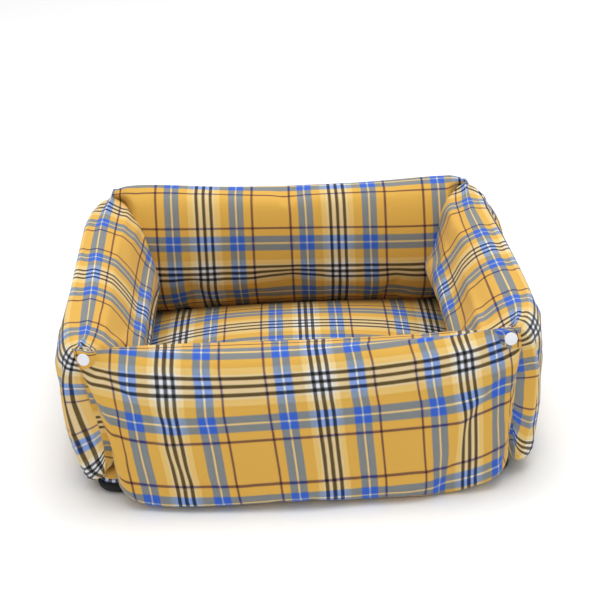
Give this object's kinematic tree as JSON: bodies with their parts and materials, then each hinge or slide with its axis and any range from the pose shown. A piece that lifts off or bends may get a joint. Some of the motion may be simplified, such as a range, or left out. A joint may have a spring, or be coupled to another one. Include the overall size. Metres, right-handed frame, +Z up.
{
  "type": "pet cushion bed",
  "caption": "Rectangular plaid cushion bed for a small pet: a crowned base pad with stuffed walls that snap together at the corners and fold out flat.",
  "frame": {"origin": "on the floor, under the middle of the base pad", "axes": "+Z up, +X along the long side to the right, -Y towards the front wall"},
  "size_m": [0.4712, 0.4092, 0.176],
  "materials": {
    "plaid_fabric": "woven twill plaid, yellow with blue, white and black stripes",
    "non_slip_fabric": "black woven fabric with small rubber dots",
    "fibre_filling": "loose white polyester fibre",
    "white_plastic": "glossy moulded plastic"
  },
  "bodies": {
    "base": {"base_top_panel": "plaid_fabric", "base_bottom_panel": "non_slip_fabric", "base_filling": "fibre_filling", "front_hinge_seam": "plaid_fabric", "back_hinge_seam": "plaid_fabric", "left_hinge_seam": "plaid_fabric", "right_hinge_seam": "plaid_fabric"},
    "front_wall": {"front_wall_cover": "plaid_fabric", "front_wall_filling": "fibre_filling", "front_left_snap_cap": "white_plastic", "front_left_snap_socket": "white_plastic", "front_right_snap_cap": "white_plastic", "front_right_snap_socket": "white_plastic"},
    "back_wall": {"back_wall_cover": "plaid_fabric", "back_wall_filling": "fibre_filling", "back_left_snap_cap": "white_plastic", "back_left_snap_socket": "white_plastic", "back_right_snap_cap": "white_plastic", "back_right_snap_socket": "white_plastic"},
    "left_wall": {"left_wall_cover": "plaid_fabric", "left_wall_filling": "fibre_filling", "left_front_snap_stud": "white_plastic", "left_front_snap_inner_cap": "white_plastic", "left_back_snap_stud": "white_plastic", "left_back_snap_inner_cap": "white_plastic"},
    "right_wall": {"right_wall_cover": "plaid_fabric", "right_wall_filling": "fibre_filling", "right_front_snap_stud": "white_plastic", "right_front_snap_inner_cap": "white_plastic", "right_back_snap_stud": "white_plastic", "right_back_snap_inner_cap": "white_plastic"}
  },
  "joints": [
    {"name": "front_wall_fold", "type": "hinge", "parent": "base", "child": "front_wall", "pos_m": [0, -0.172, 0.025], "axis": [1, 0, 0], "range_deg": [-0.7, 80]},
    {"name": "back_wall_fold", "type": "hinge", "parent": "base", "child": "back_wall", "pos_m": [0, 0.172, 0.025], "axis": [-1, 0, 0], "range_deg": [-0.7, 80]},
    {"name": "left_wall_fold", "type": "hinge", "parent": "base", "child": "left_wall", "pos_m": [-0.203, 0, 0.025], "axis": [0, -1, 0], "range_deg": [0, 80]},
    {"name": "right_wall_fold", "type": "hinge", "parent": "base", "child": "right_wall", "pos_m": [0.203, 0, 0.025], "axis": [0, 1, 0], "range_deg": [0, 80]}
  ]
}
